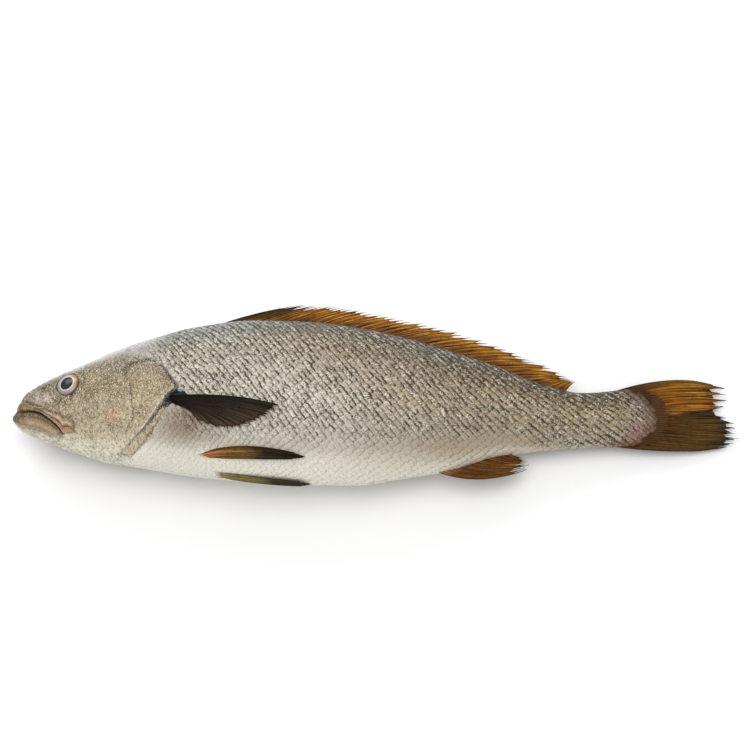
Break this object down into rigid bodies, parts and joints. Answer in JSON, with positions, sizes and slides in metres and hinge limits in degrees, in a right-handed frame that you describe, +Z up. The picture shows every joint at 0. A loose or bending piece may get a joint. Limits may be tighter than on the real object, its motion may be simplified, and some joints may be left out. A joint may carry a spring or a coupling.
{
  "type": "whole raw fish",
  "caption": "Whole raw croaker lying on its flank, with folded fins, closed mouth, shut gill cover and silvery brown scaled skin.",
  "frame": {"origin": "bottom centre of the fish's box, on the surface that it lies on", "axes": "+X from head to tail, +Y from belly to back, +Z up out of the left flank"},
  "size_m": [0.6028, 0.1584, 0.0775],
  "materials": {
    "flank_skin": "wet scaled skin, silvery beige with dark brown scale edges",
    "head_skin": "wet bare skin, mottled brown and olive",
    "fin": "wet amber to dark brown membrane over rays",
    "iris": "wet silver and gold",
    "pupil": "glossy blue-black"
  },
  "bodies": {
    "root": {"fish": "flank_skin"}
  },
  "joints": []
}
